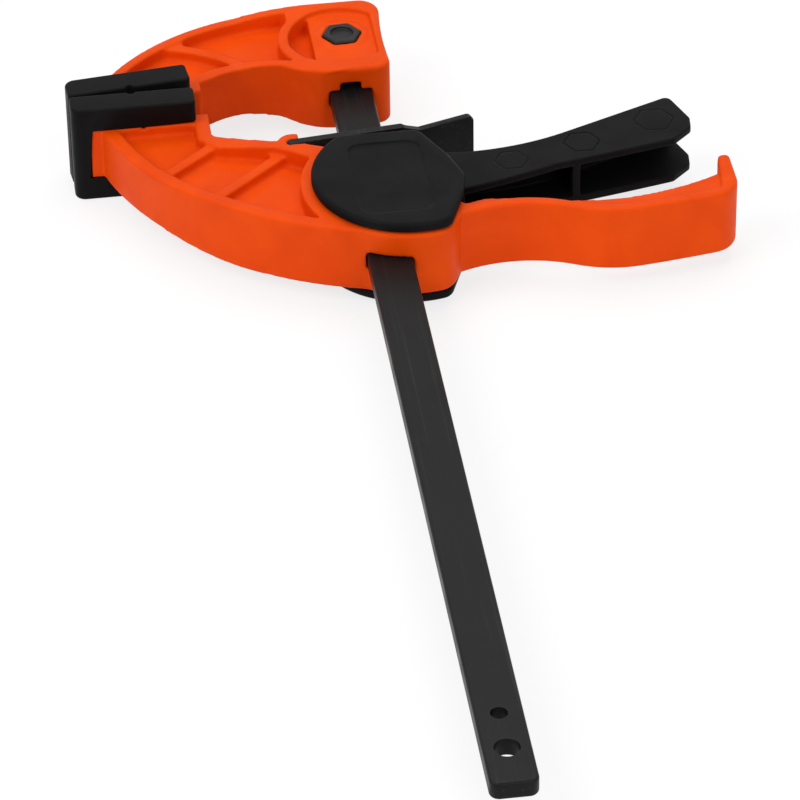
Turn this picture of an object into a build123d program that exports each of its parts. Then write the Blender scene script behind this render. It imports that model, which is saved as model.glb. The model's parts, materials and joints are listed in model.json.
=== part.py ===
from build123d import *
import os
from math import cos, radians, sin

# Quick release bar clamp.
# The frame stands at the middle of the bar's tail hole: +Y runs along the bar to the fixed jaw,
# +X to the handle, and +Z through the bar's thickness. Millimetres.

# --- Bar -------------------------------------------------------------------------------------
bar_width = 12.0
bar_thick = 5.0
hole_span = 308.6  # tail hole to jaw bolt hole
end_margin = 12.8  # outer hole to the bar's end, the same at both ends
end_hole_r = 3.25
stop_hole_gap = 12.7  # outer hole to the small hole beside it
stop_hole_r = 2.2
bar_corner_r = 2.5
bar_edge_r = 0.8

# --- Clearances ------------------------------------------------------------------------------
guide_clear = 0.3  # bar to the slot of the sliding body, each side
seat_clear = 0.05  # bar to the socket of the fixed jaw, each side
plate_clear = 0.2  # bar to the slots of the drive plates and the lever, each side
pad_clear = 0.1  # pad to jaw tip
cheek_gap = 0.5  # hub face to trigger cheek
pin_clear = 0.05  # pivot pin to its holes, on the radius
rest_gap = 0.1  # between pieces that rest against each other
swing_gap = 0.4  # between pieces that turn past each other

# --- Bolt and nut, M6 ------------------------------------------------------------------------
bolt_r = 3.0
hex_across = 10.0
head_height = 4.0
head_proud = 1.05  # head above the platform that it is let into
head_turn = 4.0
head_bevel = 0.4
dish_r = 3.2
dish_depth = 0.8
nut_height = 5.0
nut_sink = 0.3  # nut below the jaw's lower face
hex_clear = 0.1

# --- Jaw pads --------------------------------------------------------------------------------
pad_length = 34.7
pad_depth = 8.0
pad_half = 14.8
pad_front = 3.5  # working face to pocket
pad_end = 5.0  # wall at the tip
pad_corner_r = 3.0
pad_small_r = 1.2
pad_edge_r = 0.6
groove_half = 1.25
groove_depth = 1.2
snap_r = 0.7
snap_run = 20.0  # tip end to the snap ridges
pad_tip_x = -80.3  # tip end of both pads

# --- Jaws ------------------------------------------------------------------------------------
tip_half = 7.75  # half thickness of both jaws inside their pads
tip_depth = 4.0  # jaw tip, along the bar
tip_step = 3.3  # jaw tip past the end of the jaw's curved back
throat_x = -42.0  # where the tip blocks end and the throat begins
tip_wall = 4.6  # front wall of a tip block
rib = 3.4
cell_corner_r = 1.5  # upright corners between ribs and flanges
cell_foot_r = 0.8  # foot of the ribs and flanges on the web
face_to_bolt = 30.2  # tip of the fixed pad's working face to the jaw bolt
closed_span = 78.7  # trigger pivot to the jaw bolt with the pads closed
pads_apart = 0.4  # between the pad tips with the jaws closed
toe_angle = 6.4  # the fixed pad opens toward the bar by this angle

# Fixed jaw
fixed_half = 9.8
fixed_web = 3.8
fixed_rib_top = 7.0
fixed_flange = 3.0
fixed_arc_r = 64.2  # back of the jaw
fixed_arc_x = -15.3
fixed_edge_r = 1.2
boss_wall = 6.0  # beside the bar, at the front
boss_flare = 0.9  # more at the back corner
boss_waist = 0.8  # less between the two
boss_front = 20.6  # bolt to the face that the bar enters
boss_back = 16.2  # bolt to the back of the jaw
boss_corner_r = 4.0
boss_back_r = 6.0
crown = (-27.0, -12.65)  # front of the jaw from the bolt: highest point, and start of the slope
crown_end = (-18.5, -14.4)
slope_mid = (-13.8, -18.2)
slope_end = (-8.0, -20.6)
slope_r = 3.0
ring_r = 17.5
ring_x = -1.0
ring_y = -2.1
ring_wall = 3.0
bay_stop = 15.0  # bolt to the end of the bay between the ring and the back flange
platform_half = 8.0
platform_run = 8.8  # bolt to the platform's open side
key_half = 3.0
key_top = 5.0
key_depth = 18.0
collar_r = 7.2
collar_rise = 0.5
fixed_taper_start = 9.0
fixed_taper_end = 30.0

# Sliding body
body_half = 9.8
web = 4.5
rib_top = 7.2
arm_flange = 4.2
arm_arc_r = 91.4  # back of the moving jaw
arm_arc_x = 15.8
arm_arc_y = 66.1
pin_r = 1.5
pin_gap = 0.8  # bar edge to pivot pin
hub_r = 27.0
hub_front = 18.6  # pivot to the hub's front face
hub_wall = 6.5  # rear wall that guides the bar
guide_corner_r = 1.2
body_edge_r = 1.0
throat_r = 2.5
waist_r = 12.0  # where the back of the arm meets the hub
rim_r = 29.4  # raised rim on the jaw side of the hub
shell = 2.2  # upper and lower walls of the hub
root_gap_r = 4.7  # hub material round the pin on the trigger's side
curl_wall = 2.8
curl_lip = 1.8  # lever pivot to the end of the curl
taper_angle = 36.0
taper_start = 27.2
taper_end = 57.3
handle_x = 20.5  # where the handle leaves the hub
hub_shoulder = (18.6, -22.2)  # on the hub's side below the handle
hub_corner_r = 6.0  # at the rear of the hub, on the handle's side
grip_corner_r = 4.0  # between the hub's side and the handle
window_front = -5.4  # front end of the hub's side wall, from the pivot
plate_room = -12.0  # the cavity is as wide as the drive plates down to here
core_half = 8.0
core_wall = 2.0
core_pitch = 14.2
core_count = 5
grip_wall = 3.4
grip_root = (17.0, -20.2)  # back of the handle from the pivot's height, hub to hook
grip_crest = (34.5, -15.9)
grip_turn = (51.5, -20.0)
grip_belly = (69.2, -23.2)
grip_heel = (90.4, -20.1)
hook_x = 97.1
hook_foot = -12.0  # where the round of the heel ends
hook_top = -0.6
hook_wall = 3.3  # at the top
hook_root = 5.0  # at the foot
hook_r = 1.2

# Trigger
cheek_r = 26.4
cheek_thick = 2.8
cheek_top = 20.2
cheek_point = 5.6  # pin to the corner at the top of the slanted side
cheek_side = ((12.2, 6.5), (15.3, -3.4), (13.6, -11.6))  # corners toward the arm, from the pin
cheek_foot = 7.4  # pin to where the side meets the round rim
cheek_corner_r = 4.0
cheek_edge_r = 1.3
cheek_blend_r = 6.0
panel_depth = 0.4
panel_width = 20.0
panel_x = 3.2
panel_front = 14.6
panel_run = 34.0
panel_r = 4.0
pin_hole_depth = 1.8
arm_half = 7.3
arm_plate = 2.3
arm_wall = 3.0
arm_rib_x = 56.0
nose_reach = 8.0  # pivot to nose, across the bar
nose_r = 1.5
nose_drop = 1.0
root_front = 17.0
tip_r = 2.0
arm_bend = (54.8, 20.8)  # outline of the arm, from the pivot's height
arm_tip_far = (86.4, 34.25)
arm_tip_mid = (90.5, 22.5)
arm_tip_low = (90.0, 17.9)
arm_tip_near = (84.5, 12.6)
arm_near_bend = (50.6, 5.3)
hex_line = 0.5
hex_line_depth = 0.25
hex_marks = ((38.3, 9.0, 5.0), (58.8, 14.9, 5.35), (80.4, 22.9, 6.0))  # x, y, radius

# Drive plates and springs
plate_thick = 2.5
plate_half = 7.0
plate_inner = 10.0  # bar centre to the jaw-side end of the plates
plate_outer = 17.8  # bar centre to the trigger-side end
plate_corner_r = 1.5
wire_r = 0.6
coil_r = 7.0
drive_turns = 5
release_turns = 3

# Release lever
lever_thick = 2.2
lever_half = 9.5
lever_tilt = 6.1
lever_bead_r = 1.5
lever_x = -20.5
lever_y = 24.1  # ahead of the trigger pivot
paddle_half = 7.0
paddle_r = 1.8
paddle_turn = 11.5
paddle_slope = 5.8  # bend to where the paddle is narrow
paddle_run = 22.2
neck_run = 30.6  # lever pivot to the bend

# --- Worked out ------------------------------------------------------------------------------
half_bar = bar_width / 2
half_thick = bar_thick / 2
bar_length = hole_span + 2 * end_margin
jaw_y = hole_span
pivot_x = half_bar + pin_gap + pin_r
pivot_y = jaw_y - closed_span
slot_half = half_bar + guide_clear
slot_rise = half_thick + guide_clear
cavity_half = body_half - shell
nose_front = -nose_drop - nose_r  # lowest point of the nose, from the pivot
cavity_front = nose_front
cavity_rear = hub_wall - hub_r
spring_room = coil_r + wire_r + guide_clear
reach = bar_length  # longer than any piece is wide
same_level = 0.01  # heights nearer than this count as one


def at_jaw(x, y):
    """Point given from the jaw bolt."""
    return (x, jaw_y + y)


def at_hub(x, y):
    """Point given along X from the bar and along Y from the trigger pivot."""
    return (x, pivot_y + y)


def at_pin(x, y):
    """Point given from the trigger's pivot pin."""
    return (pivot_x + x, pivot_y + y)


# Seats of the two pads: x runs from the tip toward the bar, y from the working face into the jaw.
fixed_seat = Plane(
    origin=(pad_tip_x, jaw_y - face_to_bolt, 0),
    x_dir=(cos(radians(toe_angle)), sin(radians(toe_angle)), 0),
    z_dir=(0, 0, 1),
)
moving_seat = Plane(
    origin=(pad_tip_x, jaw_y - face_to_bolt - pads_apart, 0),
    x_dir=(1, 0, 0),
    z_dir=(0, 0, -1),
)
tip_start = pad_end + pad_clear
back_start = tip_start + tip_step
tip_front = pad_front + pad_clear


def on_seat(seat, x, y):
    """Point given in the frame of a pad's seat."""
    spot = seat.from_local_coords((x, y, 0))
    return (spot.X, spot.Y)


def snap_plane(seat):
    """Section plane of the ridges that hold a pad on its jaw."""
    return Plane(
        origin=seat.from_local_coords((snap_run, tip_front, 0)),
        x_dir=seat.x_dir,
        z_dir=seat.y_dir,
    )


def grip_arcs(rise):
    """Draw the back of the handle, moved toward the trigger, and return its first and last arc."""
    root, crest, turn, belly, heel = (
        at_hub(x, y + rise) for x, y in (grip_root, grip_crest, grip_turn, grip_belly, grip_heel)
    )
    first = ThreePointArc(root, crest, turn)
    second = TangentArc(first @ 1, belly, tangent=first % 1)
    last = TangentArc(second @ 1, heel, tangent=second % 1)
    return first, last


def rims(part):
    """Edges round the broad faces of a plate-like part, apart from the ones across them."""
    sides = part.faces().filter_by(lambda face: abs(face.normal_at().Z) < 0.1)
    return sides.edges().filter_by(Axis.Z, reverse=True)


def keep_in_wedge(origin, angle, start, end, root_half):
    """Thin a jaw from its root to its tip, on both sides."""
    toward_tip = Vector(-cos(radians(angle)), sin(radians(angle)), 0)
    side = Plane(origin=origin, x_dir=toward_tip, z_dir=toward_tip.cross(Vector(0, 0, 1)))
    with BuildSketch(side, mode=Mode.PRIVATE) as wedge:
        with BuildLine():
            Polyline(
                (-reach, root_half),
                (start, root_half),
                (end, tip_half),
                (reach, tip_half),
                (reach, -tip_half),
                (end, -tip_half),
                (start, -root_half),
                (-reach, -root_half),
                close=True,
            )
        make_face()
    extrude(wedge.sketch, amount=reach, both=True, mode=Mode.INTERSECT)


def cut_both_sides(face, level):
    """Cut a face away above and below the mid-plane, from a level outward."""
    for side in (1, -1):
        extrude(Pos(0, 0, side * level) * face.sketch, amount=side * reach, mode=Mode.SUBTRACT)


def floors(part, level):
    """Edges of the flat faces at a level above and below the mid-plane."""
    flat = part.faces().filter_by(Axis.Z)
    return flat.filter_by(lambda face: abs(abs(face.center().Z) - level) < same_level).edges()


def open_corners(cells):
    """Corners with room beside them for their round."""
    short = cells.edges().filter_by(lambda edge: edge.length < 3 * cell_corner_r)
    taken = short.vertices()
    return cells.vertices().filter_by(lambda corner: corner not in taken)


def tip_block(seat):
    """Add the end of a jaw that fills its pad's pocket."""
    with BuildSketch(seat, mode=Mode.PRIVATE) as block:
        with Locations((tip_start, tip_front)):
            Rectangle(pad_length - tip_start, tip_depth, align=(Align.MIN, Align.MIN))
    extrude(block.sketch, amount=tip_half, both=True)


def snap_grooves(seat):
    """Cut the grooves that take a pad's ridges across a jaw tip."""
    with BuildSketch(snap_plane(seat), mode=Mode.PRIVATE) as grooves:
        with Locations((0, tip_half + pad_clear), (0, -tip_half - pad_clear)):
            Circle(snap_r + pad_clear)
    extrude(grooves.sketch, amount=pad_depth, mode=Mode.SUBTRACT)


def coil_round_bar(start_y, end_y, turns):
    """Coil spring round the bar with its wire's surface on the two planes."""
    length = end_y - start_y - 2 * wire_r
    with BuildPart() as coil:
        with BuildLine():
            path = Helix(
                pitch=length / turns,
                height=length,
                radius=coil_r,
                center=(0, start_y + wire_r, 0),
                direction=(0, 1, 0),
            )
        with BuildSketch(Plane(origin=path @ 0, z_dir=path % 0)):
            Circle(wire_r)
        sweep(path=path, is_frenet=True)
    return coil


# --- Bar -------------------------------------------------------------------------------------
with BuildPart() as bar:
    with BuildSketch():
        with Locations((0, hole_span / 2)):
            RectangleRounded(bar_width, bar_length, bar_corner_r)
    extrude(amount=half_thick, both=True)
    fillet(bar.faces().filter_by(Axis.Z).edges(), bar_edge_r)
    with Locations((0, 0), (0, hole_span)):
        Hole(end_hole_r)
    with Locations((0, stop_hole_gap), (0, hole_span - stop_hole_gap)):
        Hole(stop_hole_r)


# --- Pads ------------------------------------------------------------------------------------
def slide_on_pad(seat):
    """Cap with a groove across its working face, open at its back and toward the bar."""
    groove_x = pad_length / 2
    with BuildPart() as pad:
        with BuildSketch(seat) as outline:
            with BuildLine():
                Polyline(
                    (0, 0),
                    (groove_x - groove_half, 0),
                    (groove_x, groove_depth),
                    (groove_x + groove_half, 0),
                    (pad_length, 0),
                    (pad_length, pad_depth),
                    (0, pad_depth),
                    close=True,
                )
            make_face()
            fillet(outline.vertices().sort_by_distance((0, pad_depth))[0], pad_corner_r)
            for corner in ((0, 0), (pad_length, 0), (pad_length, pad_depth)):
                fillet(outline.vertices().sort_by_distance(corner)[0], pad_small_r)
        extrude(amount=pad_half, both=True)
        fillet(pad.faces().filter_by(Axis.Z).edges(), pad_edge_r)
        with BuildSketch(seat):
            with Locations((pad_end, pad_front)):
                Rectangle(pad_length, pad_depth, align=(Align.MIN, Align.MIN))
        extrude(amount=tip_half + pad_clear, both=True, mode=Mode.SUBTRACT)
        with BuildSketch(snap_plane(seat)):
            with Locations((0, tip_half + pad_clear), (0, -tip_half - pad_clear)):
                Circle(snap_r)
        extrude(amount=pad_depth - tip_front)
    return pad


fixed_jaw_pad = slide_on_pad(fixed_seat)
moving_jaw_pad = slide_on_pad(moving_seat)

# --- Fixed jaw -------------------------------------------------------------------------------
head_seat = platform_half + head_proud - head_height
nut_seat = fixed_half - nut_sink - nut_height
boss_side = half_bar + boss_wall
fixed_arc_y = boss_back - fixed_arc_r
fixed_back = on_seat(fixed_seat, back_start, tip_front)
fixed_throat = on_seat(fixed_seat, throat_x - pad_tip_x, tip_front)
fixed_bay = on_seat(fixed_seat, back_start, tip_front + tip_wall)
fixed_bay_end = on_seat(fixed_seat, throat_x - pad_tip_x - fixed_flange, tip_front + tip_wall)
throat_turn = (fixed_throat[0] + 3.0, jaw_y - 16.5)
bay_turn = (fixed_bay_end[0] + 4.0, throat_turn[1] + fixed_flange)


def inside_front(point):
    """Point of the jaw's front outline moved in by the flange."""
    return at_jaw(point[0], point[1] + fixed_flange)


with BuildPart() as fixed_jaw:
    with BuildSketch() as fixed_face:
        with Locations(at_jaw(fixed_arc_x, fixed_arc_y)):
            Circle(fixed_arc_r)
        with BuildSketch(mode=Mode.PRIVATE) as fixed_limit:
            with BuildLine():
                Polyline(
                    at_jaw(0, -boss_front),
                    at_jaw(0, reach),
                    (fixed_back[0], jaw_y + reach),
                    fixed_back,
                    fixed_throat,
                    (fixed_throat[0], throat_turn[1] - 1.2),
                    throat_turn,
                )
                ThreePointArc(throat_turn, at_jaw(*crown), at_jaw(*crown_end))
                ThreePointArc(at_jaw(*crown_end), at_jaw(*slope_mid), at_jaw(*slope_end))
                Line(at_jaw(*slope_end), at_jaw(0, -boss_front))
            make_face()
            fillet(fixed_limit.vertices().sort_by_distance(at_jaw(*crown_end))[0], slope_r)
        add(fixed_limit.sketch, mode=Mode.INTERSECT)
        with BuildSketch(mode=Mode.PRIVATE) as boss:
            with BuildLine():
                side = ThreePointArc(
                    at_jaw(boss_side, -boss_front),
                    at_jaw(boss_side - boss_waist, boss_side - boss_front),
                    at_jaw(boss_side + boss_flare, boss_back),
                )
                Polyline(
                    side @ 1,
                    at_jaw(fixed_arc_x, boss_back),
                    at_jaw(0, 0),
                    at_jaw(0, -boss_front),
                    side @ 0,
                )
            make_face()
            fillet(boss.vertices().sort_by_distance(side @ 0)[0], boss_corner_r)
            fillet(boss.vertices().sort_by_distance(side @ 1)[0], boss_back_r)
        add(boss.sketch)
    extrude(amount=fixed_half, both=True)
    fillet(rims(fixed_jaw), fixed_edge_r)
    keep_in_wedge((0, jaw_y, 0), 0, fixed_taper_start, fixed_taper_end, fixed_half)
    tip_block(fixed_seat)
    # bays between the flanges, on both sides of the web, parted by a curved rib
    with BuildSketch(mode=Mode.PRIVATE) as fixed_bays:
        with Locations(at_jaw(fixed_arc_x, fixed_arc_y)):
            Circle(fixed_arc_r - fixed_flange)
        with BuildSketch(mode=Mode.PRIVATE) as bay_limit:
            with BuildLine():
                Polyline(
                    inside_front(crown_end),
                    inside_front((0, -boss_front)),
                    at_jaw(0, reach),
                    (fixed_bay[0], jaw_y + reach),
                    fixed_bay,
                    fixed_bay_end,
                    bay_turn,
                )
                ThreePointArc(bay_turn, inside_front(crown), inside_front(crown_end))
            make_face()
        add(bay_limit.sketch, mode=Mode.INTERSECT)
        with Locations(at_jaw(ring_x, ring_y)):
            Circle(ring_r, mode=Mode.SUBTRACT)
        with Locations(at_jaw(0, 0)):
            Rectangle(2 * bay_stop, reach, mode=Mode.SUBTRACT)
    cut_both_sides(fixed_bays, fixed_rib_top)
    with BuildSketch(mode=Mode.PRIVATE) as fixed_cells:
        add(fixed_bays.sketch)
        with BuildLine(mode=Mode.PRIVATE) as diagonal:
            ThreePointArc(at_jaw(-54, 4.0), at_jaw(-36.5, -3.2), at_jaw(-26, -14.5))
        trace(diagonal.line, line_width=rib, mode=Mode.SUBTRACT)
        fillet(open_corners(fixed_cells), cell_corner_r)
    cut_both_sides(fixed_cells, fixed_web)
    fillet(floors(fixed_jaw, fixed_web), cell_foot_r)
    # sunk platform round the bolt, and the pocket beside it, inside the raised ring
    with BuildSketch(mode=Mode.PRIVATE) as sunk:
        with Locations(at_jaw(ring_x, ring_y)):
            Circle(ring_r - ring_wall)
        with Locations(at_jaw(boss_side - ring_wall, boss_back - ring_wall)):
            Rectangle(reach, reach, align=(Align.MAX, Align.MAX), mode=Mode.INTERSECT)
    cut_both_sides(sunk, platform_half)
    with BuildSketch(mode=Mode.PRIVATE) as pocket:
        add(sunk.sketch)
        with Locations(at_jaw(-platform_run, 0)):
            Rectangle(reach, reach, align=(Align.MAX, Align.CENTER), mode=Mode.INTERSECT)
    cut_both_sides(pocket, fixed_web)
    # low collar round the bolt head, hexagon pockets, bolt hole
    with BuildSketch(Plane.XY.offset(platform_half - collar_rise)):
        with Locations(at_jaw(0, 0)):
            Circle(collar_r)
    extrude(amount=2 * collar_rise)
    with BuildSketch(mode=Mode.PRIVATE) as hexagon:
        with Locations(at_jaw(0, 0)):
            RegularPolygon(hex_across / 2 + hex_clear, 6, major_radius=False, rotation=head_turn)
    with BuildSketch(Plane.XY.offset(head_seat)):
        add(hexagon.sketch)
    extrude(amount=fixed_half, mode=Mode.SUBTRACT)
    with BuildSketch(Plane.XY.offset(-nut_seat)):
        add(hexagon.sketch)
    extrude(amount=-fixed_half, mode=Mode.SUBTRACT)
    with Locations(at_jaw(0, 0)):
        Hole(end_hole_r)
    # socket for the bar, and the keyway above it
    with BuildSketch():
        with Locations((0, jaw_y + end_margin + seat_clear)):
            Rectangle(bar_width + 2 * seat_clear, reach, align=(Align.CENTER, Align.MAX))
    extrude(amount=half_thick + seat_clear, both=True, mode=Mode.SUBTRACT)
    with BuildSketch():
        with Locations(at_jaw(0, key_depth - boss_front)):
            Rectangle(2 * key_half, reach, align=(Align.CENTER, Align.MAX))
    extrude(amount=key_top, mode=Mode.SUBTRACT)
    snap_grooves(fixed_seat)

# --- Bolt and nut ----------------------------------------------------------------------------
with BuildPart() as jaw_bolt:
    with BuildSketch(Plane.XY.offset(head_seat)):
        with Locations(at_jaw(0, 0)):
            RegularPolygon(hex_across / 2, 6, major_radius=False, rotation=head_turn)
    extrude(amount=head_height)
    chamfer(jaw_bolt.faces().sort_by(Axis.Z)[-1].edges(), head_bevel)
    with BuildSketch(Plane.XY.offset(head_seat + head_height)):
        with Locations(at_jaw(0, 0)):
            Circle(dish_r)
    extrude(amount=-dish_depth, mode=Mode.SUBTRACT)
    with BuildSketch(Plane.XY.offset(head_seat)):
        with Locations(at_jaw(0, 0)):
            Circle(bolt_r)
    extrude(amount=-head_seat - nut_seat - nut_height)

with BuildPart() as jaw_nut:
    with BuildSketch(Plane.XY.offset(-nut_seat)):
        with Locations(at_jaw(0, 0)):
            RegularPolygon(hex_across / 2, 6, major_radius=False, rotation=head_turn)
            Circle(bolt_r + pin_clear, mode=Mode.SUBTRACT)
    extrude(amount=-nut_height)

# --- Sliding body: moving jaw, hub and handle ------------------------------------------------
curl_r = lever_bead_r + rest_gap + curl_wall
curl_slot = lever_bead_r + rest_gap
arm_tip = on_seat(moving_seat, back_start, tip_front)
arm_bay = (arm_tip[0] + arm_flange, arm_tip[1] - tip_wall)

with BuildSketch() as moving_arm:
    with Locations(at_hub(arm_arc_x, arm_arc_y)):
        Circle(arm_arc_r)
    with BuildSketch(mode=Mode.PRIVATE) as arm_limit:
        with BuildLine():
            Polyline(
                (throat_x, arm_tip[1]),
                arm_tip,
                (arm_tip[0], pivot_y - hub_r),
                at_hub(pivot_x, -hub_r),
                at_hub(-8, hub_front),
                at_hub(lever_x, lever_y),
                at_hub(-32.0, 28.3),
                at_hub(throat_x, 32.6),
                close=True,
            )
        make_face()
        fillet(arm_limit.vertices().sort_by_distance(at_hub(-32.0, 28.3))[0], waist_r)
        fillet(arm_limit.vertices().sort_by_distance(at_hub(throat_x, 32.6))[0], throat_r)
    add(arm_limit.sketch, mode=Mode.INTERSECT)

with BuildSketch() as hub:
    with Locations(at_hub(pivot_x, 0)):
        Circle(hub_r)
    with BuildSketch(mode=Mode.PRIVATE) as hub_limit:
        with BuildLine():
            hub_side = ThreePointArc(
                at_hub(14.8, -hub_r), at_hub(*hub_shoulder), at_hub(handle_x, grip_wall - 20.0)
            )
            Polyline(
                hub_side @ 1,
                at_hub(handle_x, window_front),
                at_hub(pivot_x + root_gap_r, window_front),
                at_hub(pivot_x + root_gap_r, hub_front),
                at_hub(-reach, hub_front),
                at_hub(-reach, -reach),
                at_hub(14.8, -reach),
                hub_side @ 0,
            )
        make_face()
    add(hub_limit.sketch, mode=Mode.INTERSECT)

with BuildSketch() as curl:
    with Locations(at_hub(lever_x, lever_y)):
        Circle(curl_r)

# back wall of the handle with its end hook
with BuildSketch() as grip:
    with BuildLine():
        outer_first, outer_last = grip_arcs(0)
        heel = TangentArc(outer_last @ 1, at_hub(hook_x, hook_foot), tangent=outer_last % 1)
        inner_first, inner_last = grip_arcs(grip_wall)
        Polyline(
            heel @ 1,
            at_hub(hook_x, hook_top),
            at_hub(hook_x - hook_wall, hook_top),
            at_hub(hook_x - hook_root, grip_wall + grip_heel[1] + 0.4),
            inner_last @ 1,
        )
        Line(inner_first @ 0, outer_first @ 0)
    make_face()
    fillet(grip.vertices().group_by(Axis.Y)[-1], hook_r)
    hook_base = at_hub(hook_x - hook_root, grip_wall + grip_heel[1] + 0.4)
    fillet(grip.vertices().sort_by_distance(hook_base)[0], hook_r)

# lower strip in front of the back wall, and the bays that lighten it
with BuildSketch() as core:
    with BuildLine():
        middle_first, middle_last = grip_arcs(grip_wall / 2)
        dip = ThreePointArc(at_hub(38.0, -10.7), at_hub(52.0, -14.1), at_hub(65.0, -15.0))
        climb = ThreePointArc(dip @ 1, at_hub(80.2, -12.2), at_hub(hook_x - hook_wall - 0.8, -7.2))
        Polyline(climb @ 1, at_hub(hook_x - hook_wall, hook_foot), middle_last @ 1)
        Polyline(middle_first @ 0, at_hub(handle_x - 1.0, -12.0), at_hub(28.0, -9.6), dip @ 0)
    make_face()
with BuildSketch() as core_bays:
    for start in range(core_count):
        with Locations(at_hub(handle_x + core_wall + start * core_pitch, 0)):
            Rectangle(core_pitch - core_wall, reach, align=(Align.MIN, Align.CENTER))
    with BuildLine():
        inner_first, inner_last = grip_arcs(grip_wall)
        Polyline(
            inner_last @ 1,
            at_hub(grip_heel[0], 0),
            at_hub(grip_root[0], 0),
            inner_first @ 0,
        )
    make_face(mode=Mode.INTERSECT)

with BuildPart() as moving_jaw:
    with BuildSketch() as body_face:
        add(moving_arm.sketch)
        add(hub.sketch)
        add(curl.sketch)
        add(grip.sketch)
        arm_meets_hub = body_face.vertices().sort_by_distance(at_hub(-half_bar, -hub_r))[0]
        fillet(arm_meets_hub, waist_r)
        fillet(body_face.vertices().sort_by_distance(hub_side @ 1)[0], grip_corner_r)
        fillet(body_face.vertices().sort_by_distance(hub_side @ 0)[0], hub_corner_r)
    extrude(amount=body_half, both=True)
    fillet(rims(moving_jaw), body_edge_r)
    keep_in_wedge((0, pivot_y, 0), taper_angle, taper_start, taper_end, body_half)
    tip_block(moving_seat)
    with BuildSketch():
        add(core.sketch)
    extrude(amount=core_half, both=True)
    with BuildSketch():
        add(core_bays.sketch)
    extrude(amount=core_half - core_wall, both=True, mode=Mode.SUBTRACT)
    # bays of the moving jaw, parted by two slanting ribs
    with BuildSketch(mode=Mode.PRIVATE) as arm_bays:
        with Locations(at_hub(arm_arc_x, arm_arc_y)):
            Circle(arm_arc_r - arm_flange)
        with BuildSketch(mode=Mode.PRIVATE) as arm_bay_limit:
            with BuildLine():
                Polyline(
                    arm_bay,
                    (throat_x - arm_flange, arm_bay[1]),
                    at_hub(throat_x - arm_flange, 32.0),
                    at_hub(-41.0, 26.0),
                    at_hub(-32.0, 23.9),
                    at_hub(-25.5, 22.2),
                    at_hub(-16.0, 15.0),
                    at_hub(0, 0),
                    at_hub(0, -hub_r),
                    (arm_bay[0], pivot_y - hub_r),
                    close=True,
                )
            make_face()
        add(arm_bay_limit.sketch, mode=Mode.INTERSECT)
        with Locations(at_hub(pivot_x, 0)):
            Circle(rim_r, mode=Mode.SUBTRACT)
    cut_both_sides(arm_bays, rib_top)
    with BuildSketch(mode=Mode.PRIVATE) as arm_cells:
        add(arm_bays.sketch)
        with BuildLine(mode=Mode.PRIVATE) as outer_rib:
            Line(at_hub(-61, 12.7), at_hub(-38, 32.6))
        trace(outer_rib.line, line_width=rib, mode=Mode.SUBTRACT)
        with BuildLine(mode=Mode.PRIVATE) as inner_rib:
            Line(at_hub(-50, -2.0), at_hub(-21, 24.1))
        trace(inner_rib.line, line_width=rib, mode=Mode.SUBTRACT)
        fillet(open_corners(arm_cells), cell_corner_r)
    cut_both_sides(arm_cells, web)
    fillet(floors(moving_jaw, web), cell_foot_r)
    # cavity for the drive plates and their spring, open toward the trigger
    with BuildSketch():
        with BuildLine():
            Polyline(
                at_hub(-plate_inner - swing_gap, cavity_front),
                at_hub(-plate_inner - swing_gap, plate_room),
                at_hub(-spring_room, cavity_rear),
                at_hub(spring_room, cavity_rear),
                at_hub(plate_outer + swing_gap, plate_room),
                at_hub(handle_x + 1.0, plate_room),
                at_hub(handle_x + 1.0, cavity_front),
                close=True,
            )
        make_face()
    extrude(amount=cavity_half, both=True, mode=Mode.SUBTRACT)
    # way of the bar through the hub
    with BuildSketch(Plane.XZ.offset(-pivot_y + reach / 2)):
        RectangleRounded(2 * slot_half, 2 * slot_rise, guide_corner_r)
    extrude(amount=-reach, mode=Mode.SUBTRACT)
    # hole of the pivot pin, and the slot inside the curl that holds the lever's end
    with Locations(at_hub(pivot_x, 0)):
        Hole(pin_r)
    with BuildSketch():
        with Locations(at_hub(lever_x, lever_y)):
            Circle(curl_slot)
            Rectangle(curl_r, 2 * curl_slot, align=(Align.MIN, Align.CENTER))
        with Locations(at_hub(lever_x + curl_lip, lever_y)):
            Rectangle(curl_r, curl_r, align=(Align.MIN, Align.MIN))
    extrude(amount=body_half, both=True, mode=Mode.SUBTRACT)
    snap_grooves(moving_seat)

# --- Trigger ---------------------------------------------------------------------------------
cheek_inner = body_half + cheek_gap
cheek_outer = cheek_inner + cheek_thick

with BuildSketch() as cheek:
    with Locations(at_hub(pivot_x, 0)):
        Circle(cheek_r)
    with BuildSketch(mode=Mode.PRIVATE) as cheek_limit:
        with BuildLine():
            Polyline(
                at_pin(-reach, cheek_top),
                at_pin(cheek_point, cheek_top),
                *(at_pin(x, y) for x, y in cheek_side),
                at_pin(cheek_foot, -cheek_r - cheek_edge_r),
                at_pin(cheek_foot, -reach),
                at_pin(-reach, -reach),
                close=True,
            )
        make_face()
        top_corner = cheek_limit.vertices().sort_by_distance(at_pin(cheek_point, cheek_top))[0]
        fillet(top_corner, cheek_corner_r)
        for x, y in cheek_side:
            fillet(cheek_limit.vertices().sort_by_distance(at_pin(x, y))[0], cheek_blend_r)
    add(cheek_limit.sketch, mode=Mode.INTERSECT)
    for spot in (at_pin(-cheek_r, cheek_top), at_pin(cheek_foot, -cheek_r)):
        fillet(cheek.vertices().sort_by_distance(spot)[0], cheek_corner_r)

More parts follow.
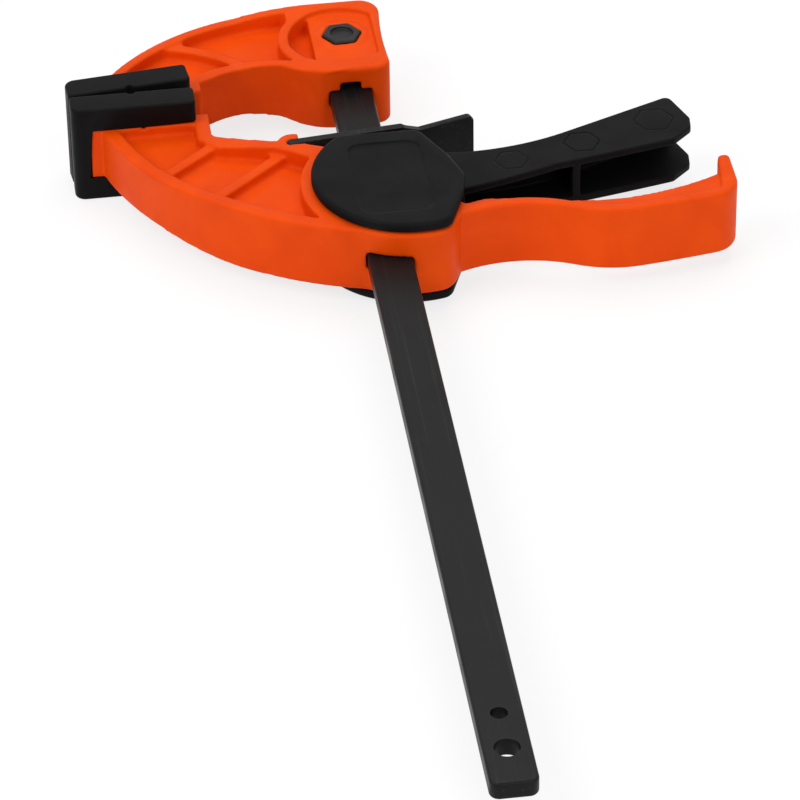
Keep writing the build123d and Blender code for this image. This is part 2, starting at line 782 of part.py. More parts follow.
arm_root = at_hub(pivot_x + root_gap_r + swing_gap, root_front)
with BuildSketch() as arm:
    with BuildLine():
        far_last = Line(at_hub(*arm_bend), at_hub(*arm_tip_far))
        far_bend = TangentArc(far_last @ 0, at_hub(24.0, 15.3), tangent=far_last % 0 * -1)
        far_first = Line(far_bend @ 1, arm_root)
        near_tip = ThreePointArc(at_hub(*arm_tip_near), at_hub(66.7, 8.6), at_hub(*arm_near_bend))
        near_root = ThreePointArc(near_tip @ 1, at_hub(37.8, 1.0), at_hub(23.1, -3.0))
        Polyline(far_last @ 1, at_hub(*arm_tip_mid), at_hub(*arm_tip_low), near_tip @ 0)
        Polyline(near_root @ 1, (arm_root[0], pivot_y), arm_root)
    make_face()
    for corner in (arm_tip_far, arm_tip_mid, arm_tip_low, arm_tip_near):
        fillet(arm.vertices().sort_by_distance(at_hub(*corner))[0], tip_r)

with BuildPart() as trigger:
    # cheeks on both sides of the hub, each with a sunk panel
    for side in (1, -1):
        with BuildSketch(Plane.XY.offset(side * cheek_inner)):
            add(cheek.sketch)
        extrude(amount=side * cheek_thick)
    fillet(
        trigger.faces().sort_by(Axis.Z)[-1].edges() + trigger.faces().sort_by(Axis.Z)[0].edges(),
        cheek_edge_r,
    )
    with BuildSketch(mode=Mode.PRIVATE) as panel:
        with Locations(at_hub(panel_x, panel_front)):
            RectangleRounded(panel_width, panel_run, panel_r, align=(Align.CENTER, Align.MAX))
    cut_both_sides(panel, cheek_outer - panel_depth)
    # root between the cheeks, and the nose that pushes the drive plates
    with BuildSketch():
        add(cheek.sketch)
        with Locations(at_hub(pivot_x + root_gap_r + swing_gap, 0)):
            Rectangle(reach, root_front, align=(Align.MIN, Align.MIN), mode=Mode.INTERSECT)
    extrude(amount=cheek_inner, both=True)
    with BuildSketch():
        with Locations(at_hub(pivot_x + nose_reach, -nose_drop)):
            Circle(nose_r)
            Rectangle(2 * nose_r, nose_drop + nose_r, align=(Align.CENTER, Align.MIN))
    extrude(amount=plate_half, both=True)
    # arm: two plates joined by a wall along the finger side and one cross rib
    with BuildSketch():
        add(arm.sketch)
    extrude(amount=arm_half, both=True)
    with BuildSketch() as channel:
        add(arm.sketch)
        trace([far_first, far_bend, far_last], line_width=2 * arm_wall, mode=Mode.SUBTRACT)
        with Locations(at_hub(arm_rib_x, 0)):
            Rectangle(arm_plate, reach, mode=Mode.SUBTRACT)
        with Locations(at_pin(cheek_side[1][0], 0)):
            Rectangle(reach, reach, align=(Align.MAX, Align.CENTER), mode=Mode.SUBTRACT)
    extrude(amount=arm_half - arm_plate, both=True, mode=Mode.SUBTRACT)
    # three hexagon lines sunk in both plates, growing toward the tip
    with BuildSketch(mode=Mode.PRIVATE) as hexagons:
        for x, y, r in hex_marks:
            with Locations(at_hub(x, y)):
                RegularPolygon(r, 6)
                RegularPolygon(r - hex_line, 6, mode=Mode.SUBTRACT)
    cut_both_sides(hexagons, arm_half - hex_line_depth)
    # blind holes for the pivot pin in the cheeks' inner faces
    with BuildSketch():
        with Locations(at_hub(pivot_x, 0)):
            Circle(pin_r + pin_clear)
    extrude(amount=cheek_inner + pin_hole_depth, both=True, mode=Mode.SUBTRACT)

with BuildPart() as trigger_pin:
    with BuildSketch():
        with Locations(at_hub(pivot_x, 0)):
            Circle(pin_r - pin_clear)
    extrude(amount=cheek_inner + pin_hole_depth - rest_gap, both=True)


# --- Drive plates and springs ----------------------------------------------------------------
def drive_plate(front_y):
    """Steel plate that the bar passes through, square to the bar at rest."""
    with BuildPart() as plate:
        with BuildSketch(Plane.XZ.offset(-front_y)):
            with Locations(((plate_outer - plate_inner) / 2, 0)):
                RectangleRounded(plate_inner + plate_outer, 2 * plate_half, plate_corner_r)
            Rectangle(
                bar_width + 2 * plate_clear, bar_thick + 2 * plate_clear, mode=Mode.SUBTRACT
            )
        extrude(amount=plate_thick)
    return plate


front_plate_y = pivot_y + cavity_front - rest_gap
rear_plate_y = front_plate_y - plate_thick - rest_gap
drive_plate_front = drive_plate(front_plate_y)
drive_plate_rear = drive_plate(rear_plate_y)
drive_spring = coil_round_bar(
    pivot_y + cavity_rear + rest_gap, rear_plate_y - plate_thick - rest_gap, drive_turns
)

# --- Release lever and its spring ------------------------------------------------------------
lever_frame = Plane(
    origin=(lever_x, pivot_y + lever_y, 0),
    x_dir=(cos(radians(lever_tilt)), sin(radians(lever_tilt)), 0),
    z_dir=(0, 0, 1),
)
bar_on_lever = -lever_x / cos(radians(lever_tilt))
paddle_frame = Plane(
    origin=lever_frame.from_local_coords((neck_run, 0, 0)),
    x_dir=(cos(radians(lever_tilt + paddle_turn)), sin(radians(lever_tilt + paddle_turn)), 0),
    z_dir=(0, 0, 1),
)
paddle_face = Plane(origin=paddle_frame.origin, x_dir=paddle_frame.x_dir, z_dir=paddle_frame.y_dir)
with BuildPart() as release_lever:
    with BuildSketch(lever_frame):
        Circle(lever_bead_r)
        Rectangle(neck_run, lever_thick, align=(Align.MIN, Align.CENTER))
        with Locations((neck_run, 0)):
            Circle(lever_thick / 2)
    extrude(amount=lever_half, both=True)
    with BuildSketch(paddle_face) as paddle:
        with BuildLine():
            Polyline(
                (0, -lever_half),
                (paddle_slope, -paddle_half),
                (paddle_run, -paddle_half),
                (paddle_run, paddle_half),
                (paddle_slope, paddle_half),
                (0, lever_half),
                close=True,
            )
        make_face()
        fillet(paddle.vertices().group_by(Axis.X)[-1], paddle_r)
    extrude(amount=lever_thick / 2, both=True)
    slot_face = Plane(
        origin=lever_frame.from_local_coords((bar_on_lever, 0, 0)),
        x_dir=lever_frame.x_dir,
        z_dir=lever_frame.y_dir,
    )
    with BuildSketch(slot_face):
        Rectangle(bar_width + 2 * plate_clear, bar_thick + 2 * plate_clear)
    extrude(amount=lever_thick, both=True, mode=Mode.SUBTRACT)

spring_face = lever_frame.from_local_coords((bar_on_lever - coil_r - wire_r, -lever_thick / 2, 0))
release_spring = coil_round_bar(
    pivot_y + hub_front + rest_gap, spring_face.Y - rest_gap, release_turns
)

# --- Write the pieces ------------------------------------------------------------------------
pieces = {
    "bar": bar,
    "fixed_jaw": fixed_jaw,
    "jaw_bolt": jaw_bolt,
    "jaw_nut": jaw_nut,
    "fixed_jaw_pad": fixed_jaw_pad,
    "moving_jaw": moving_jaw,
    "moving_jaw_pad": moving_jaw_pad,
    "trigger": trigger,
    "trigger_pin": trigger_pin,
    "drive_plate_front": drive_plate_front,
    "drive_plate_rear": drive_plate_rear,
    "drive_spring": drive_spring,
    "release_lever": release_lever,
    "release_spring": release_spring,
}
os.makedirs("parts", exist_ok=True)
for name, piece in pieces.items():
    piece.part.label = name
    export_step(piece.part, f"parts/{name}.step")
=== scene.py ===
import json
import math

import bmesh
import bpy
from mathutils import Matrix, Vector
from mathutils.bvhtree import BVHTree
from mathutils.kdtree import KDTree


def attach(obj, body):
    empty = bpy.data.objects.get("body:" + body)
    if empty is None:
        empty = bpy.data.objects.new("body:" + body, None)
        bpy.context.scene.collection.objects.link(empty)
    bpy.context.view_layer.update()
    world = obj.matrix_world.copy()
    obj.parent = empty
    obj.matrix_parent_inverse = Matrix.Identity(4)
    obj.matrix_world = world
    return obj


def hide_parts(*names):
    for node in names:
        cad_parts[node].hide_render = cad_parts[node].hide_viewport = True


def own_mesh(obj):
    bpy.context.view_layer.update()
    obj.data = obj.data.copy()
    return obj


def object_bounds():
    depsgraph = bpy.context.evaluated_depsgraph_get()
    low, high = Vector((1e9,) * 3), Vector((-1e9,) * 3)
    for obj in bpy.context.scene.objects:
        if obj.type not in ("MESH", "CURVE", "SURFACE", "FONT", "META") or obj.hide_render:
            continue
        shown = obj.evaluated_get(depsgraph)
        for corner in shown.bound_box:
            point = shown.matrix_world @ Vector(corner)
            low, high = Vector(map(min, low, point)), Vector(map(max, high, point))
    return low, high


# Looks of a quick release bar clamp, in metres, in the frame of its solids: the origin is the
# bar's tail hole, +Y runs along the bar to the fixed jaw, +X to the handle, +Z through the bar.

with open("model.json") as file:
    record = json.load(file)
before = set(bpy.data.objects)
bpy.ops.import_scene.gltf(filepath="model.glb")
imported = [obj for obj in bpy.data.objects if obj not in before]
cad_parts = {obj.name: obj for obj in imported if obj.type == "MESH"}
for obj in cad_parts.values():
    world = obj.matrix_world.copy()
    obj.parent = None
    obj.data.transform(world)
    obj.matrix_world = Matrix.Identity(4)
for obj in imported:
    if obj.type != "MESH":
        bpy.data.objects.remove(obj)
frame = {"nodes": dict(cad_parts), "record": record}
cad_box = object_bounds()
nodes = frame["nodes"]
MM = 0.001

# --- Colours ---------------------------------------------------------------------------------
# plain, in the slow darker patches, on worn edges, and of the specks
ORANGE = (0.76, 0.068, 0.0010, 1)
ORANGE_SHADE = (0.69, 0.054, 0.0008, 1)
ORANGE_PALE = (0.86, 0.135, 0.012, 1)
ORANGE_SPECK = (0.16, 0.012, 0.004, 1)
BLACK_PLASTIC = (0.0065, 0.0065, 0.0072, 1)
BLACK_PLASTIC_SHADE = (0.0042, 0.0042, 0.0047, 1)
BLACK_PLASTIC_PALE = (0.022, 0.022, 0.024, 1)
BLACK_PLASTIC_SPECK = (0.16, 0.16, 0.165, 1)
BLACK_PAINT = (0.0075, 0.0070, 0.0070, 1)
BLACK_PAINT_SHADE = (0.0050, 0.0047, 0.0047, 1)
BLACK_PAINT_PALE = (0.030, 0.029, 0.029, 1)
OXIDE = (0.020, 0.019, 0.019, 1)
OXIDE_SHADE = (0.011, 0.010, 0.010, 1)
OXIDE_PALE = (0.10, 0.095, 0.09, 1)
BRIGHT_STEEL = (0.48, 0.48, 0.49, 1)
BRIGHT_STEEL_SHADE = (0.36, 0.36, 0.37, 1)
BRIGHT_STEEL_PALE = (0.62, 0.62, 0.63, 1)
FLOOR_WHITE = (0.93, 0.93, 0.93, 1)
WHITE = (1, 1, 1, 1)

# --- Effects that the finishes share ---------------------------------------------------------
WEAR_FACING = (0.99, 0.80)  # flat normal against rounded normal, from no wear to full wear
WEAR_PATCHES = (0.38, 0.62)  # noise from the least worn to the most worn patches
WEAR_KEPT = (0.25, 1.0)  # share of the wear in those patches
SHADE_NOISE = (0.35, 0.68)  # noise from the plain to the darker colour
GLOSS_NOISE = (0.3, 0.7)  # noise from the glossiest to the dullest skin
SINK_WEIGHT = 1.5  # height of the slow waves against the fine grain
LINE_NOISE = (0.58, 0.74)  # noise from no rubbing line to a full one
MASK = (0.0, 1.0)


def add_node(tree, kind, **settings):
    """One node, with attributes by name and sockets by a dict called sockets."""
    sockets = settings.pop("sockets", {})
    node = tree.nodes.new(kind)
    for key, value in settings.items():
        setattr(node, key, value)
    for key, value in sockets.items():
        if hasattr(value, "is_output"):
            tree.links.new(value, node.inputs[key])
        else:
            node.inputs[key].default_value = value
    return node


def combine(tree, operation, first, second, clamp=False):
    """Two values joined by one math operation."""
    node = add_node(
        tree, "ShaderNodeMath", operation=operation, use_clamp=clamp,
        sockets={0: first, 1: second},
    )
    return node.outputs[0]


def spread(tree, value, limits, given=MASK):
    """A value within the given range turned into one between two limits."""
    node = add_node(
        tree, "ShaderNodeMapRange",
        sockets={0: value, 1: given[0], 2: given[1], 3: limits[0], 4: limits[1]},
    )
    return node.outputs[0]


def noise(tree, place, scale, **sockets):
    """Noise from 0 to 1."""
    node = add_node(
        tree, "ShaderNodeTexNoise", sockets={"Vector": place, "Scale": scale, **sockets}
    )
    return node.outputs["Fac"]


def own_place(tree):
    """Place in the piece's own axes, which move with it."""
    return add_node(tree, "ShaderNodeTexCoord").outputs["Object"]


def new_group(name, inputs, outputs):
    """Shader node group with plain number inputs and the given outputs."""
    tree = bpy.data.node_groups.new(name, "ShaderNodeTree")
    for label, value in inputs:
        socket = tree.interface.new_socket(label, in_out="INPUT", socket_type="NodeSocketFloat")
        socket.default_value = value
    for label, kind in outputs:
        tree.interface.new_socket(label, in_out="OUTPUT", socket_type=kind)
    return tree, tree.nodes.new("NodeGroupInput").outputs, tree.nodes.new("NodeGroupOutput").inputs


def make_edge_wear():
    """Mask that is 1 along convex edges and fades over the worn width."""
    tree, given, out = new_group(
        "edge_wear",
        [("Width", 0.6 * MM), ("Strength", 1.0), ("Patch Scale", 60.0)],
        [("Mask", "NodeSocketFloat")],
    )
    surface = add_node(tree, "ShaderNodeNewGeometry")
    rounded = add_node(tree, "ShaderNodeBevel", samples=4, sockets={"Radius": given["Width"]})
    alike = add_node(
        tree, "ShaderNodeVectorMath", operation="DOT_PRODUCT",
        sockets={0: surface.outputs["Normal"], 1: rounded.outputs["Normal"]},
    )
    edge = spread(tree, alike.outputs["Value"], MASK, given=WEAR_FACING)
    patches = noise(tree, own_place(tree), given["Patch Scale"], Detail=3.0)
    worn = spread(tree, patches, WEAR_KEPT, given=WEAR_PATCHES)
    both = combine(tree, "MULTIPLY", edge, worn)
    tree.links.new(combine(tree, "MULTIPLY", both, given["Strength"], clamp=True), out["Mask"])
    return tree


def make_soft_edges():
    """Surface normal that turns over each edge instead of breaking at it."""
    tree, given, out = new_group(
        "soft_edges", [("Radius", 0.6 * MM)], [("Normal", "NodeSocketVector")]
    )
    rounded = add_node(tree, "ShaderNodeBevel", samples=6, sockets={"Radius": given["Radius"]})
    tree.links.new(rounded.outputs["Normal"], out["Normal"])
    return tree


def make_mould_skin():
    """Fine spark-eroded skin of a moulding, with slow shade changes under it."""
    tree, given, out = new_group(
        "mould_skin",
        [("Grain Scale", 1500.0), ("Flow Scale", 45.0), ("Sink Scale", 120.0)],
        [
            ("Height", "NodeSocketFloat"),
            ("Shade", "NodeSocketFloat"),
            ("Gloss", "NodeSocketFloat"),
        ],
    )
    place = own_place(tree)
    grain = noise(tree, place, given["Grain Scale"], Detail=2.0, Roughness=0.6)
    sink = noise(tree, place, given["Sink Scale"], Detail=1.0)
    flow = noise(tree, place, given["Flow Scale"], Detail=4.0, Distortion=1.2)
    height = add_node(
        tree, "ShaderNodeMath", operation="MULTIPLY_ADD",
        sockets={0: sink, 1: SINK_WEIGHT, 2: grain},
    )
    tree.links.new(height.outputs[0], out["Height"])
    tree.links.new(spread(tree, flow, MASK, given=SHADE_NOISE), out["Shade"])
    tree.links.new(spread(tree, sink, MASK, given=GLOSS_NOISE), out["Gloss"])
    return tree


def make_specks():
    """Mask of small scattered dots, such as dust or burnt grains in a moulding."""
    tree, given, out = new_group(
        "specks",
        [("Spacing", 90.0), ("Dot", 0.018), ("Share", 0.3)],
        [("Mask", "NodeSocketFloat")],
    )
    cells = add_node(
        tree, "ShaderNodeTexVoronoi",
        sockets={"Vector": own_place(tree), "Scale": given["Spacing"]},
    )
    dot = combine(tree, "LESS_THAN", cells.outputs["Distance"], given["Dot"])
    pick = add_node(tree, "ShaderNodeSeparateColor", sockets={0: cells.outputs["Color"]})
    kept = combine(tree, "LESS_THAN", pick.outputs[0], given["Share"])
    tree.links.new(combine(tree, "MULTIPLY", dot, kept), out["Mask"])
    return tree


def make_slide_marks():
    """Faint rubbing lines that run along the bar, where the sliding body passes."""
    tree, given, out = new_group(
        "slide_marks",
        [("Line Scale", 900.0), ("Length Scale", 14.0), ("Amount", 0.5)],
        [("Mask", "NodeSocketFloat")],
    )
    parts = add_node(tree, "ShaderNodeSeparateXYZ", sockets={0: own_place(tree)}).outputs
    drawn_out = add_node(
        tree, "ShaderNodeCombineXYZ",
        sockets={
            0: combine(tree, "MULTIPLY", parts["X"], given["Line Scale"]),
            1: combine(tree, "MULTIPLY", parts["Y"], given["Length Scale"]),
            2: combine(tree, "MULTIPLY", parts["Z"], given["Line Scale"]),
        },
    )
    lines = noise(tree, drawn_out.outputs[0], 1.0, Detail=3.0)
    sharp = spread(tree, lines, MASK, given=LINE_NOISE)
    tree.links.new(combine(tree, "MULTIPLY", sharp, given["Amount"], clamp=True), out["Mask"])
    return tree


EDGE_WEAR = make_edge_wear()
SOFT_EDGES = make_soft_edges()
MOULD_SKIN = make_mould_skin()
SPECKS = make_specks()
SLIDE_MARKS = make_slide_marks()


# --- Finishes --------------------------------------------------------------------------------
def place_group(tree, group, **values):
    """Outputs of a shared effect in a material, with this material's own values."""
    node = add_node(tree, "ShaderNodeGroup", node_tree=group)
    for key, value in values.items():
        node.inputs[key.replace("_", " ")].default_value = value
    return node.outputs


def mix_colours(tree, mask, first, second):
    """The first colour where the mask is 0, the second where it is 1."""
    node = add_node(tree, "ShaderNodeMix", data_type="RGBA")
    tree.links.new(mask, node.inputs[0])
    for socket, colour in ((node.inputs[6], first), (node.inputs[7], second)):
        if hasattr(colour, "is_output"):
            tree.links.new(colour, socket)
        else:
            socket.default_value = colour
    return node.outputs[2]


def start_material(name):
    material = bpy.data.materials.new(name)
    material.use_nodes = True
    return material, material.node_tree, material.node_tree.nodes["Principled BSDF"]


def set_surface(tree, bsdf, skin, colour, roughness, specular, relief, depth, edges=None):
    """Colour, gloss and fine relief of a finish, over its edge normals if it has any."""
    sockets = {"Height": skin["Height"], "Strength": relief, "Distance": depth}
    if edges is not None:
        sockets["Normal"] = edges
    bump = add_node(tree, "ShaderNodeBump", sockets=sockets)
    tree.links.new(colour, bsdf.inputs["Base Color"])
    tree.links.new(spread(tree, skin["Gloss"], roughness), bsdf.inputs["Roughness"])
    tree.links.new(bump.outputs["Normal"], bsdf.inputs["Normal"])
    bsdf.inputs["Specular IOR Level"].default_value = specular


def moulded(name, base, shade, pale, speck, roughness, specular, grain, depth, wear, wear_width):
    """Injection moulded plastic: fine skin, slow shade changes, paler worn edges, some specks."""
    material, tree, bsdf = start_material(name)
    skin = place_group(tree, MOULD_SKIN, Grain_Scale=grain)
    worn = place_group(tree, EDGE_WEAR, Width=wear_width, Strength=wear)
    colour = mix_colours(tree, skin["Shade"], base, shade)
    colour = mix_colours(tree, worn["Mask"], colour, pale)
    colour = mix_colours(tree, place_group(tree, SPECKS)["Mask"], colour, speck)
    edges = place_group(tree, SOFT_EDGES, Radius=wear_width)["Normal"]
    set_surface(tree, bsdf, skin, colour, roughness, specular, 0.5, depth, edges)
    return material


def coated_bar(name):
    """Black paint on a cold drawn bar, rubbed in fine lines along its length."""
    material, tree, bsdf = start_material(name)
    skin = place_group(tree, MOULD_SKIN, Grain_Scale=1100.0, Flow_Scale=30.0)
    rubbed = place_group(tree, SLIDE_MARKS, Amount=0.45)
    worn = place_group(tree, EDGE_WEAR, Width=0.5 * MM, Strength=0.7, Patch_Scale=90.0)
    colour = mix_colours(tree, skin["Shade"], BLACK_PAINT, BLACK_PAINT_SHADE)
    colour = mix_colours(tree, rubbed["Mask"], colour, BLACK_PAINT_PALE)
    colour = mix_colours(tree, worn["Mask"], colour, BLACK_PAINT_PALE)
    set_surface(
        tree, bsdf, skin, colour, roughness=(0.34, 0.46), specular=0.12, relief=0.4,
        depth=0.03 * MM,
    )
    return material


def steel(name, base, shade, pale, roughness, metallic, wear):
    """Bare or blackened steel with brighter edges."""
    material, tree, bsdf = start_material(name)
    skin = place_group(tree, MOULD_SKIN, Grain_Scale=2200.0, Flow_Scale=160.0)
    worn = place_group(tree, EDGE_WEAR, Width=0.35 * MM, Strength=wear, Patch_Scale=300.0)
    colour = mix_colours(tree, skin["Shade"], base, shade)
    colour = mix_colours(tree, worn["Mask"], colour, pale)
    set_surface(
        tree, bsdf, skin, colour, roughness, specular=0.3, relief=0.3, depth=0.02 * MM
    )
    bsdf.inputs["Metallic"].default_value = metallic
    return material


FINISHES = {
    "orange_moulding": moulded(
        "orange_moulding", ORANGE, ORANGE_SHADE, ORANGE_PALE, ORANGE_SPECK,
        roughness=(0.40, 0.52), specular=0.07, grain=1300.0, depth=0.04 * MM,
        wear=0.35, wear_width=0.9 * MM,
    ),
    "black_moulding": moulded(
        "black_moulding", BLACK_PLASTIC, BLACK_PLASTIC_SHADE, BLACK_PLASTIC_PALE,
        BLACK_PLASTIC_SPECK, roughness=(0.42, 0.55), specular=0.05, grain=1500.0,
        depth=0.05 * MM, wear=0.6, wear_width=0.7 * MM,
    ),
    "coated_bar": coated_bar("coated_bar"),
    "black_oxide": steel(
        "black_oxide", OXIDE, OXIDE_SHADE, OXIDE_PALE, roughness=(0.38, 0.5), metallic=0.6,
        wear=0.8,
    ),
    "bright_steel": steel(
        "bright_steel", BRIGHT_STEEL, BRIGHT_STEEL_SHADE, BRIGHT_STEEL_PALE,
        roughness=(0.28, 0.4), metallic=1.0, wear=0.6,
    ),
}

# finish of each node, and how far its hard edges are eased, in millimetres
NODE_FINISH = {
    "bar": ("coated_bar", 0.0),
    "fixed_jaw": ("orange_moulding", 0.0),
    "moving_jaw": ("orange_moulding", 0.0),
    "fixed_jaw_pad": ("black_moulding", 0.8),
    "moving_jaw_pad": ("black_moulding", 0.8),
    "trigger": ("black_moulding", 0.5),
    "release_lever": ("coated_bar", 0.4),
    "jaw_bolt": ("black_oxide", 0.35),
    "jaw_nut": ("black_oxide", 0.25),
    "trigger_pin": ("bright_steel", 0.2),
    "drive_plate_front": ("bright_steel", 0.25),
    "drive_plate_rear": ("bright_steel", 0.25),
    "drive_spring": ("bright_steel", 0.0),
    "release_spring": ("bright_steel", 0.0),
}
# joint that presses each spring, and the share of its length that is left at the joint's limit
SPRINGS = {"drive_spring": ("drive_slide", 0.83), "release_spring": ("release_press", 0.55)}

# --- Skins -----------------------------------------------------------------------------------
# mouldings that are rounded all over instead of eased edge by edge
SOFT_MOULDINGS = ("fixed_jaw", "moving_jaw")
SOFT_GRID = 0.4 * MM
SOFT_FACTOR = 0.5  # of the way to the neighbours' middle, at each round
SOFT_ROUNDS = 6
SOFT_KEPT = 0.5  # share of the faces
JOIN_DISTANCE = 0.002 * MM
FLAT_ANGLE = math.radians(0.2)  # faces nearer to one plane than this are joined
SMOOTH_ANGLE = math.radians(32.0)  # sharper edges are shaded as breaks
EDGE_ANGLE = math.radians(38.0)  # sharper edges are eased
EDGE_STEPS = 3
IN_LINE = 0.94  # cosine above which two edges count as one run
ROOM_SHARE = 0.45  # of the shortest edge beside it, for each ease
LEAST_EASE = 0.08  # share of the full ease under which an edge stays hard
STRAY_SHARE = 0.45  # of the ease, as a distance from the surface
RELEASE_SHARE = 0.6  # of the ease, as the reach round a stray point
RELEASE_ROUNDS = 4
EASE_WEIGHT = "bevel_weight_edge"

body_of = {node: body for body, members in frame["record"]["behaviour"]["bodies"].items()
           for node in members}


def put_in_scene(thing):
    bpy.context.scene.collection.objects.link(thing)


def room_beside(edge):
    """Length of the shortest edge that leaves a hard edge sideways."""
    along = (edge.verts[1].co - edge.verts[0].co).normalized()
    room = math.inf
    for vert in edge.verts:
        for other in vert.link_edges:
            away = other.other_vert(vert).co - vert.co
            if abs(away.normalized().dot(along)) < IN_LINE:
                room = min(room, away.length)
    return room


def joined_mesh(node_name, eased):
    """The node's triangles as one closed skin, with each hard edge weighed for its ease."""
    mesh = nodes[node_name].data.copy()
    mesh.name = node_name + "_skin"
    work = bmesh.new()
    work.from_mesh(mesh)
    bmesh.ops.remove_doubles(work, verts=work.verts, dist=JOIN_DISTANCE)
    bmesh.ops.dissolve_limit(
        work, angle_limit=FLAT_ANGLE, verts=work.verts, edges=work.edges, delimit={"NORMAL"}
    )
    if eased:
        weight = work.edges.layers.float.new(EASE_WEIGHT)
        for edge in work.edges:
            if edge.is_manifold and edge.calc_face_angle() > EDGE_ANGLE:
                share = min(1.0, ROOM_SHARE * room_beside(edge) / eased)
                edge[weight] = share if share > LEAST_EASE else 0.0
    work.to_mesh(mesh)
    work.free()
    return mesh


def release_strays(skin, eased):
    """Take the ease off the edges whose eased points would leave the surface."""
    mesh = skin.data
    corners = KDTree(len(mesh.vertices))
    for vert in mesh.vertices:
        corners.insert(vert.co, vert.index)
    corners.balance()
    surface = BVHTree.FromPolygons(
        [vert.co for vert in mesh.vertices], [face.vertices for face in mesh.polygons]
    )
    for _ in range(RELEASE_ROUNDS):
        eased_mesh = skin.evaluated_get(bpy.context.evaluated_depsgraph_get()).to_mesh()
        found = [surface.find_nearest(vert.co) for vert in eased_mesh.vertices]
        stray = [hit[3] > STRAY_SHARE * eased for hit in found]
        released = set()
        for edge in eased_mesh.edges:
            if any(stray[i] for i in edge.vertices):
                for i in edge.vertices:
                    released.add(corners.find(found[i][0])[1])
                    near = corners.find_range(found[i][0], RELEASE_SHARE * eased)
                    released.update(hit[1] for hit in near)
        if not released:
            return
        weights = mesh.attributes[EASE_WEIGHT].data
        for edge in mesh.edges:
            if released.intersection(edge.vertices):
                weights[edge.index].value = 0.0
        skin.update_tag()


def soft_mesh(node_name):
    """The node's skin with all its edges and corners rounded, as it leaves the mould."""
    rough = bpy.data.objects.new("rough", joined_mesh(node_name, 0.0))
    put_in_scene(rough)
    grid = rough.modifiers.new("grid", "REMESH")
    grid.mode = "VOXEL"
    grid.voxel_size = SOFT_GRID
    rounded = rough.modifiers.new("rounded", "SMOOTH")
    rounded.factor = SOFT_FACTOR
    rounded.iterations = SOFT_ROUNDS
    thinned = rough.modifiers.new("thinned", "DECIMATE")
    thinned.ratio = SOFT_KEPT
    solved = rough.evaluated_get(bpy.context.evaluated_depsgraph_get())
    mesh = bpy.data.meshes.new_from_object(solved)
    mesh.name = node_name + "_skin"
    bpy.data.objects.remove(rough)
    return mesh


def dress(node_name, finish, eased):
    """Stand a finished skin in for a node: eased edges and smooth curves, same shape."""
    soft = node_name in SOFT_MOULDINGS
    mesh = soft_mesh(node_name) if soft else joined_mesh(node_name, eased)
    mesh.materials.clear()
    mesh.materials.append(FINISHES[finish])
    mesh.shade_smooth()
    if not soft:
        mesh.set_sharp_from_angle(angle=SMOOTH_ANGLE)
    skin = bpy.data.objects.new(node_name + "_skin", mesh)
    put_in_scene(skin)
    if eased:
        bevel = skin.modifiers.new("eased", "BEVEL")
        bevel.width = eased
        bevel.segments = EDGE_STEPS
        bevel.limit_method = "WEIGHT"
        bevel.use_clamp_overlap = False
        bevel.harden_normals = True
        release_strays(skin, eased)
    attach(skin, body_of[node_name])
    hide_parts(node_name)
    if node_name in SPRINGS:
        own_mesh(skin)


for node_name, (finish, eased) in NODE_FINISH.items():
    dress(node_name, finish, eased * MM)

# --- Studio ----------------------------------------------------------------------------------
FLOOR_SIZE = 8.0
FLOOR_GAP = 0.2 * MM
SHADOW_KEPT = 0.22  # share of the floor's own shading that the camera sees
AMBIENT = 0.55
LAMP_TARGET = (0.0, 0.2, 0.0)
SOFTBOXES = (  # name, place, size, watts
    ("softbox_left", (-0.9, -0.2, 1.1), (0.9, 0.9), 9.0),
    ("softbox_front", (0.5, -1.1, 0.8), (0.9, 0.6), 5.0),
    ("softbox_top", (0.1, 0.7, 1.3), (1.0, 0.8), 7.0),
)
CAMERA_PLACE = (-0.13187, -0.84999, 0.74008)
CAMERA_ANGLES = (7.23, 36.47, -0.93)  # degrees: turn from +Y to +X, dip below level, roll
CAMERA_LENS = 216.35
CAMERA_SENSOR = 36.0
CAMERA_REACH = 50.0


def seen_directly(tree):
    """1 for rays from the camera, in reflections and through glass, else 0."""
    path = add_node(tree, "ShaderNodeLightPath").outputs
    glossy = combine(
        tree, "ADD", path["Is Glossy Ray"], path["Is Transmission Ray"], clamp=True
    )
    return combine(tree, "ADD", path["Is Camera Ray"], glossy, clamp=True)


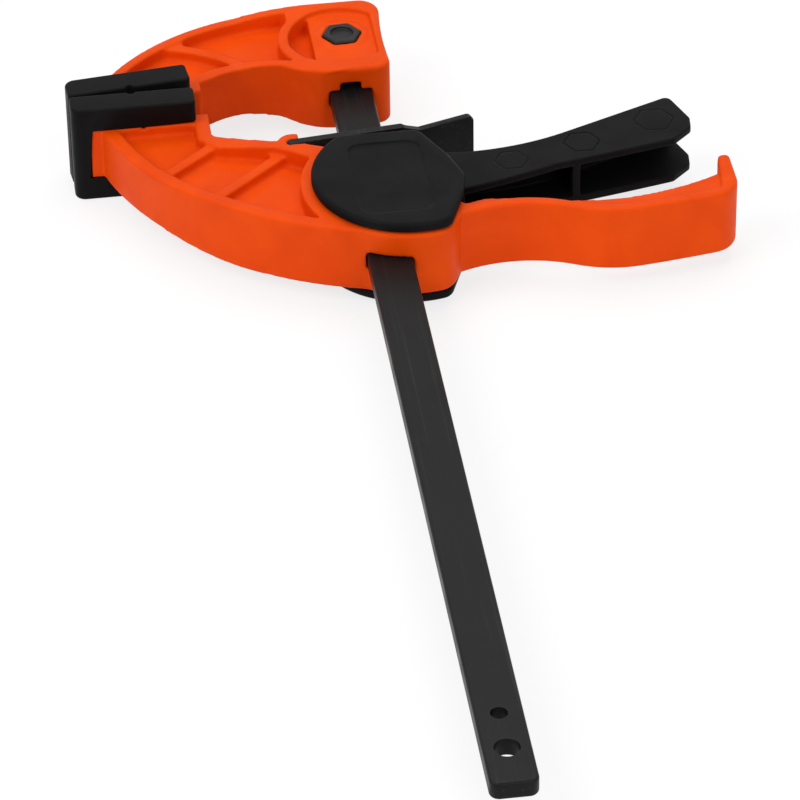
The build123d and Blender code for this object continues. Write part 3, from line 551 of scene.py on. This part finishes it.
def lay_floor():
    """White sweep just under the object, with most of its shading kept from the camera."""
    low = cad_box[0][2] - FLOOR_GAP
    half = FLOOR_SIZE / 2
    mesh = bpy.data.meshes.new("floor")
    corners = [(-half, -half, low), (half, -half, low), (half, half, low), (-half, half, low)]
    mesh.from_pydata(corners, [], [(0, 1, 2, 3)])
    floor = bpy.data.objects.new("floor", mesh)
    put_in_scene(floor)
    material, tree, bsdf = start_material("white_sweep")
    bsdf.inputs["Base Color"].default_value = FLOOR_WHITE
    bsdf.inputs["Roughness"].default_value = 0.9
    bsdf.inputs["Specular IOR Level"].default_value = 0.0
    glow = add_node(tree, "ShaderNodeEmission", sockets={"Color": WHITE, "Strength": 1.0})
    share = combine(tree, "MULTIPLY", seen_directly(tree), 1.0 - SHADOW_KEPT)
    blend = add_node(
        tree, "ShaderNodeMixShader", sockets={0: share, 1: bsdf.outputs[0], 2: glow.outputs[0]}
    )
    tree.links.new(blend.outputs[0], tree.nodes["Material Output"].inputs["Surface"])
    mesh.materials.append(material)


def light_world():
    """Soft light from all round, which the camera sees as plain white."""
    world = bpy.data.worlds.new("studio")
    bpy.context.scene.world = world
    world.use_nodes = True
    tree = world.node_tree
    tree.nodes.clear()
    soft, white = (
        add_node(tree, "ShaderNodeBackground", sockets={"Color": WHITE, "Strength": strength})
        for strength in (AMBIENT, 1.0)
    )
    blend = add_node(
        tree, "ShaderNodeMixShader",
        sockets={0: seen_directly(tree), 1: soft.outputs[0], 2: white.outputs[0]},
    )
    out = add_node(tree, "ShaderNodeOutputWorld")
    tree.links.new(blend.outputs[0], out.inputs["Surface"])


def hang_softbox(name, place, size, watts):
    lamp = bpy.data.lights.new(name, "AREA")
    lamp.shape = "RECTANGLE"
    lamp.size, lamp.size_y = size
    lamp.energy = watts
    box = bpy.data.objects.new(name, lamp)
    box.location = place
    aim = Vector(LAMP_TARGET) - Vector(place)
    box.rotation_euler = aim.to_track_quat("-Z", "Y").to_euler()
    put_in_scene(box)


def set_camera():
    """Long lens above the tail end, a little to the jaw side."""
    azimuth, pitch, roll = (math.radians(angle) for angle in CAMERA_ANGLES)
    level = Vector((math.sin(azimuth), math.cos(azimuth), 0))
    side = Vector((math.cos(azimuth), -math.sin(azimuth), 0))
    forward = level * math.cos(pitch) - Vector((0, 0, math.sin(pitch)))
    up = level * math.sin(pitch) + Vector((0, 0, math.cos(pitch)))
    right = side * math.cos(roll) + up * math.sin(roll)
    above = up * math.cos(roll) - side * math.sin(roll)
    turn = Matrix((right, above, -forward)).transposed().to_4x4()
    lens = bpy.data.cameras.new("camera")
    lens.lens = CAMERA_LENS
    lens.sensor_width = CAMERA_SENSOR
    lens.clip_end = CAMERA_REACH
    camera = bpy.data.objects.new("camera", lens)
    camera.matrix_world = Matrix.Translation(CAMERA_PLACE) @ turn
    put_in_scene(camera)
    bpy.context.scene.camera = camera


lay_floor()
light_world()
for softbox in SOFTBOXES:
    hang_softbox(*softbox)
set_camera()
bpy.context.scene.view_settings.view_transform = "Standard"
